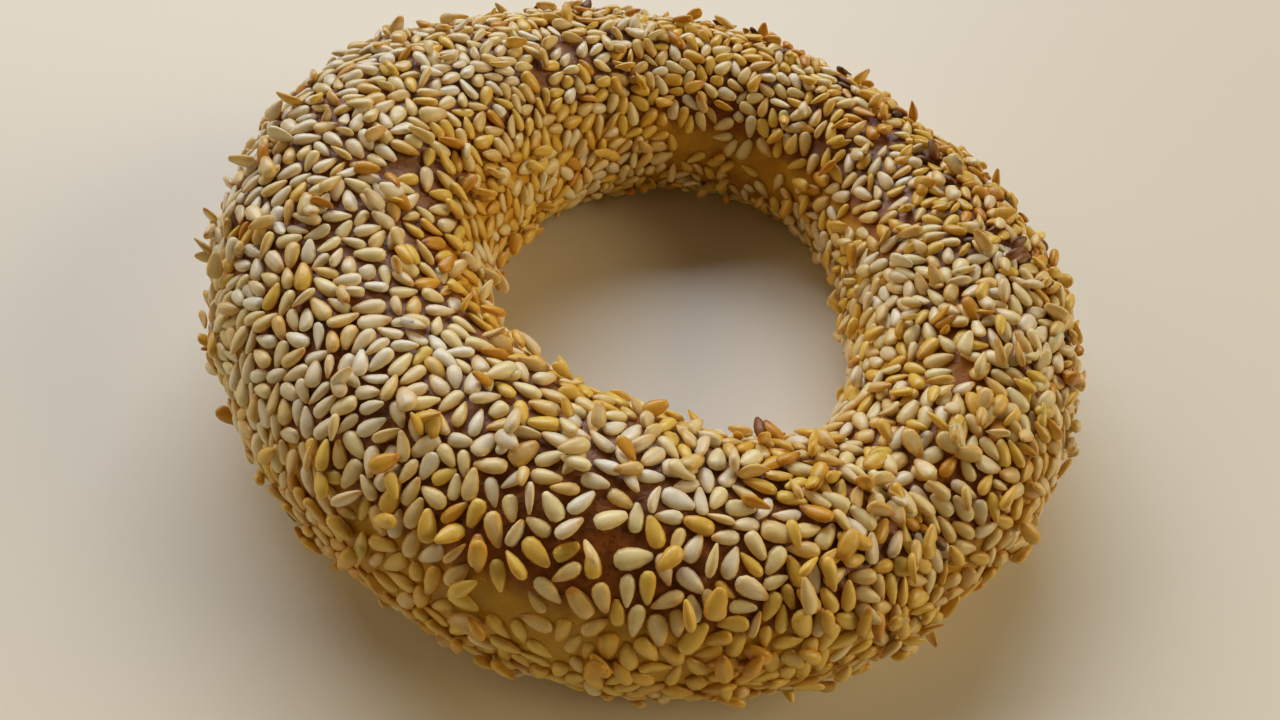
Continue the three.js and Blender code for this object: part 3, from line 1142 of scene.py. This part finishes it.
        # Painted shade: the seeds low on the near side are made more golden, standing in for the shade and the warm
        # light bounced up from below.
        mean = 0.27 + 0.07 * inner + 0.08 * inner_left - 0.02 * right - 0.09 * left + 0.25 * low_front
        mean = mean + 0.08 * cluster
        mean = mean + 0.07 * self.oven.hotness(turn) * smoothstep(-40, 40, angle_between(roll, 320)) * (roll < 200)
        mean = mean + 0.1 * self.oven.ridge(turn, roll) + (0.06 if stray else 0.0)
        groups = np.sin(np.radians(5 * turn + 2 * roll)) * np.sin(np.radians(3 * roll - 4 * turn))
        dark = mean + 0.06 * groups + self.random.normal(0, 0.105, count) * (1 - 0.5 * low_front - 0.3 * right)
        luck = self.random.uniform(0, 1, count)
        ridge = self.oven.ridge(turn, roll)
        toasted = 0.015 + 0.15 * ridge + 0.05 * inner_left + (0.03 if stray else 0)
        toasted = toasted * (1 - 0.8 * low_front)
        charred = 0.001 + 0.17 * ridge
        dark = np.where(luck < toasted + charred, self.random.uniform(0.6, 0.82, count), dark)
        dark = np.where(luck < charred, self.random.uniform(0.84, 1.0, count), dark)
        return np.clip(dark, 0.0, 1.0)

    # -- fitting into the part's own box --

    def keep_inside(self, laid: dict[str, np.ndarray], crust: BVHTree) -> np.ndarray:
        """Moves seeds onto the uneven crust and off the floor, and finds those that fit the part's box.

        Args:
            laid: The seeds as `lay` gives them. Their places are changed.
            crust: The crust that they lie on.

        Returns:
            True for each seed that stays.
        """
        low, high = (np.array(corner) for corner in CAD_BOX)
        low, high = low + self.margin, high - self.margin
        outward = self.form.points(np.radians(laid["turn"]), np.radians(laid["roll"]))
        for i, (spot, normal) in enumerate(zip(outward, laid["normal"])):
            hit = crust.ray_cast(Vector(spot + normal * 4 * MM), Vector(-normal), 8 * MM)[0]
            if hit is not None:
                laid["place"][i] += normal * float(np.dot(np.array(hit) - spot, normal))
        shapes = np.stack([shape.points() for shape in SEED_SHAPES])
        turned = np.einsum("npk,njk->npj", shapes[laid["shape"]] * laid["scale"][:, None], laid["axes"])
        under = np.maximum(low - laid["place"] - turned.min(1), 0)
        over = np.maximum(laid["place"] + turned.max(1) - high, 0)
        laid["place"] += under - over
        return (under.max(1) < self.longest_nudge) & (over.max(1) < self.longest_nudge)

    # -- making the pieces --

    def _shape_collection(self) -> bpy.types.Collection:
        """The seed shapes in a collection of their own, which the tree picks from."""
        shapes = bpy.data.collections.new("seed_shapes")
        bpy.context.scene.collection.children.link(shapes)
        for i, shape in enumerate(SEED_SHAPES):
            shapes.objects.link(bpy.data.objects.new(f"{i}_{shape.name}", shape.mesh()))
        return shapes

    def _points(self, laid: dict[str, np.ndarray], chosen: np.ndarray) -> bpy.types.Mesh:
        """A mesh with one bare point for each chosen seed, which keeps how the seed lies."""
        mesh = bpy.data.meshes.new("seed_places")
        mesh.vertices.add(int(chosen.sum()))
        mesh.vertices.foreach_set("co", laid["place"][chosen].astype(np.float32).ravel())
        quaternions = [Matrix(axes.tolist()).to_quaternion() for axes in laid["axes"][chosen]]
        for name, kind, key, values in (
            ("lie", "QUATERNION", "value", np.array([list(q) for q in quaternions])),
            ("measure", "FLOAT_VECTOR", "vector", laid["scale"][chosen]),
            ("tone", "FLOAT", "value", laid["tone"][chosen]),
        ):
            layer = mesh.attributes.new(name, kind, "POINT")
            layer.data.foreach_set(key, np.ascontiguousarray(values, dtype=np.float32).ravel())
        layer = mesh.attributes.new("shape", "INT", "POINT")
        layer.data.foreach_set("value", np.ascontiguousarray(laid["shape"][chosen], dtype=np.int32))
        return mesh

    def _grow(self, kind: SeedKind, start: bpy.types.Mesh, shapes: bpy.types.Collection) -> bpy.types.Object:
        """Sets a seed on each point and joins them into one piece."""
        tree = ShapeTree(kind.piece)
        picked = tree.add(
            "GeometryNodeCollectionInfo",
            Collection=tree.size("Shapes", shapes, "Collection"),
            Separate_Children=True,
            Reset_Children=True,
        ).outputs[0]
        fullness = tree.size("Fullness", 1.0)
        measure = tree.vector_math("SCALE", tree.attribute("measure", "FLOAT_VECTOR"), fullness)
        seeds = tree.add(
            "GeometryNodeInstanceOnPoints",
            Points=tree.points,
            Instance=picked,
            Pick_Instance=True,
            Instance_Index=tree.attribute("shape", "INT"),
            Rotation=tree.attribute("lie", "QUATERNION"),
            Scale=measure,
        ).outputs[0]
        return tree.run(seeds, kind.value.material(kind.piece), start, kind.piece)

    def build(self, crust: bpy.types.Object) -> dict[SeedKind, bpy.types.Object]:
        """Makes the coat.

        Args:
            crust: The crust that the seeds stick to.

        Returns:
            One piece for each kind of seed.
        """
        view = bpy.context.evaluated_depsgraph_get()
        surface = BVHTree.FromObject(crust, view)
        bed = self.scatter(self.bed_count, stray=False)
        self.settle(bed)
        strays = self.scatter(self.stray_count, stray=True)
        self.leave_bare_spots(strays)
        layers = [self.lay(bed, False, bed), self.lay(strays, True, bed)]
        for laid, stray in zip(layers, (False, True)):
            laid["dark"] = self.toast(laid["turn"], laid["roll"], stray)
        singles = self.lay(self.pick_out(), True, bed)
        layers.append({**singles, "dark": np.array([s.dark for s in self.single_seeds])})
        laid = {name: np.concatenate([layer[name] for layer in layers]) for name in layers[0]}
        fits = self.keep_inside(laid, surface)
        bounds = (0.23, 0.37, 0.56, 0.83)
        rank = np.searchsorted(bounds, laid["dark"])
        edges = np.array([0.0, *bounds, 1.0])
        laid["tone"] = np.clip((laid["dark"] - edges[rank]) / (edges[rank + 1] - edges[rank]), 0, 1)
        shapes = self._shape_collection()
        pieces = {}
        for number, kind in enumerate(SeedKind):
            chosen = fits & (rank == number)
            pieces[kind] = self._grow(kind, self._points(laid, chosen), shapes)
            log.info("%s: %d seeds", kind.piece, int(chosen.sum()))
        for shape in list(shapes.objects):
            bpy.data.objects.remove(shape)
        bpy.data.collections.remove(shapes)
        return pieces


# ---- The studio ----


@dataclass(frozen=True)
class SoftLight:
    """A flat softbox that points at the ring."""

    name: str
    place: tuple[float, float, float]
    sides: tuple[float, float]
    watts: float
    tint: Colour = (255, 255, 255)

    def build(self, aim: Vector) -> None:
        """Hangs the light."""
        light = bpy.data.lights.new(self.name, "AREA")
        light.shape, light.energy = "RECTANGLE", self.watts
        light.size, light.size_y = self.sides
        light.color = rgba(self.tint)[:3]
        lamp = bpy.data.objects.new(self.name, light)
        lamp.location = self.place
        lamp.rotation_euler = (aim - Vector(self.place)).to_track_quat("-Z", "Y").to_euler()
        bpy.context.scene.collection.objects.link(lamp)


@dataclass
class Studio:
    """A pale floor, soft light and the camera."""

    camera_place: tuple[float, float, float] = (0.02 * MM, -85.4 * MM, 94.4 * MM)
    camera_elevation: float = 49.37
    camera_tilt: float = 7.87
    lens: float = 26.44
    floor_radius: float = 2.2
    backdrop_colour: Colour = (255, 246, 232)
    backdrop_seen: float = 0.5
    backdrop_light: float = 0.03
    floor_colour: Colour = (240, 235, 218)
    aim: tuple[float, float, float] = (0.0, 0.0, 12 * MM)
    lights: tuple[SoftLight, ...] = (
        SoftLight("window_light", (-0.6, 1.74, 1.5), (2.7, 1.2), 54, (242, 245, 255)),
        SoftLight("right_light", (2.1, 0.18, 1.05), (1.5, 1.2), 26, (255, 230, 184)),
        SoftLight("left_light", (-2.1, 0.18, 1.05), (1.5, 1.2), 11.5, (255, 222, 168)),
        SoftLight("near_light", (0.3, -1.86, 0.42), (2.4, 0.7), 2.2, (255, 208, 96)),
    )

    def build(self) -> None:
        """Sets up the floor, the lights, the surroundings and the camera."""
        self._floor()
        for light in self.lights:
            light.build(Vector(self.aim))
        bpy.context.scene.world = self._surroundings()
        bpy.context.scene.view_settings.view_transform = "Standard"
        self._camera()

    def _surroundings(self) -> bpy.types.World:
        """A pale backdrop that is seen, but hardly lights the ring."""
        world = bpy.data.worlds.new("studio")
        world.use_nodes = True
        bench, backdrop = NodeBench(world.node_tree), world.node_tree.nodes["Background"]
        backdrop.inputs["Color"].default_value = rgba(self.backdrop_colour)
        seen = bench.add("ShaderNodeLightPath").outputs["Is Camera Ray"]
        seen = bench.math("MULTIPLY", seen, self.backdrop_seen)
        bench.fill(backdrop.inputs["Strength"], bench.math("ADD", seen, self.backdrop_light))
        return world

    def _floor(self) -> None:
        """A large round floor under the ring."""
        mesh = bpy.data.meshes.new("floor")
        turns = FULL_TURN * np.arange(96) / 96
        rim = self.floor_radius * np.stack([np.cos(turns), np.sin(turns), 0 * turns], axis=1)
        mesh.from_pydata(rim.tolist(), [], [list(range(len(rim)))])
        material, bench, shader = new_material("pale_floor")
        bench.fill(shader.inputs["Base Color"], rgba(self.floor_colour))
        bench.fill(shader.inputs["Roughness"], 0.55)
        mesh.materials.append(material)
        floor = bpy.data.objects.new("floor", mesh)
        bpy.context.scene.collection.objects.link(floor)

    def _camera(self) -> None:
        """The camera, looking down across the near side of the ring."""
        rise, tilt = math.radians(self.camera_elevation), math.radians(self.camera_tilt)
        forward = Vector((0, math.cos(rise), -math.sin(rise)))
        right, up = Vector((1, 0, 0)), Vector((0, math.sin(rise), math.cos(rise)))
        tilted_right = right * math.cos(tilt) + up * math.sin(tilt)
        tilted_up = up * math.cos(tilt) - right * math.sin(tilt)
        camera = bpy.data.objects.new("camera", bpy.data.cameras.new("camera"))
        camera.data.sensor_width = 36
        camera.data.lens = self.lens
        camera.data.clip_start = 0.005
        turned = Matrix((tilted_right, tilted_up, -forward)).transposed()
        camera.matrix_world = Matrix.Translation(self.camera_place) @ turned.to_4x4()
        bpy.context.scene.collection.objects.link(camera)
        bpy.context.scene.camera = camera


# ---- Putting it together ----


def main() -> None:
    """Builds the ring, its seeds and the studio, and says which body each piece rides on."""
    logging.basicConfig(level=logging.INFO, format="%(name)s: %(message)s")
    form, oven = RopeForm(), Oven()
    Studio().build()
    crust = Crust(form, oven).build()
    pieces = [(crust, "crust")]
    seeds = SeedCoat(form, oven).build(crust)
    pieces += [(piece, kind.slot) for kind, piece in seeds.items()]
    for piece, slot in pieces:
        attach(piece, BODY)
        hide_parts(NODE)
        triangles = sum(len(face.vertices) - 2 for face in piece.data.polygons)
        log.info("%s rides on %s, %d triangles", piece.name, BODY, triangles)


if __name__ == "__main__":
    main()
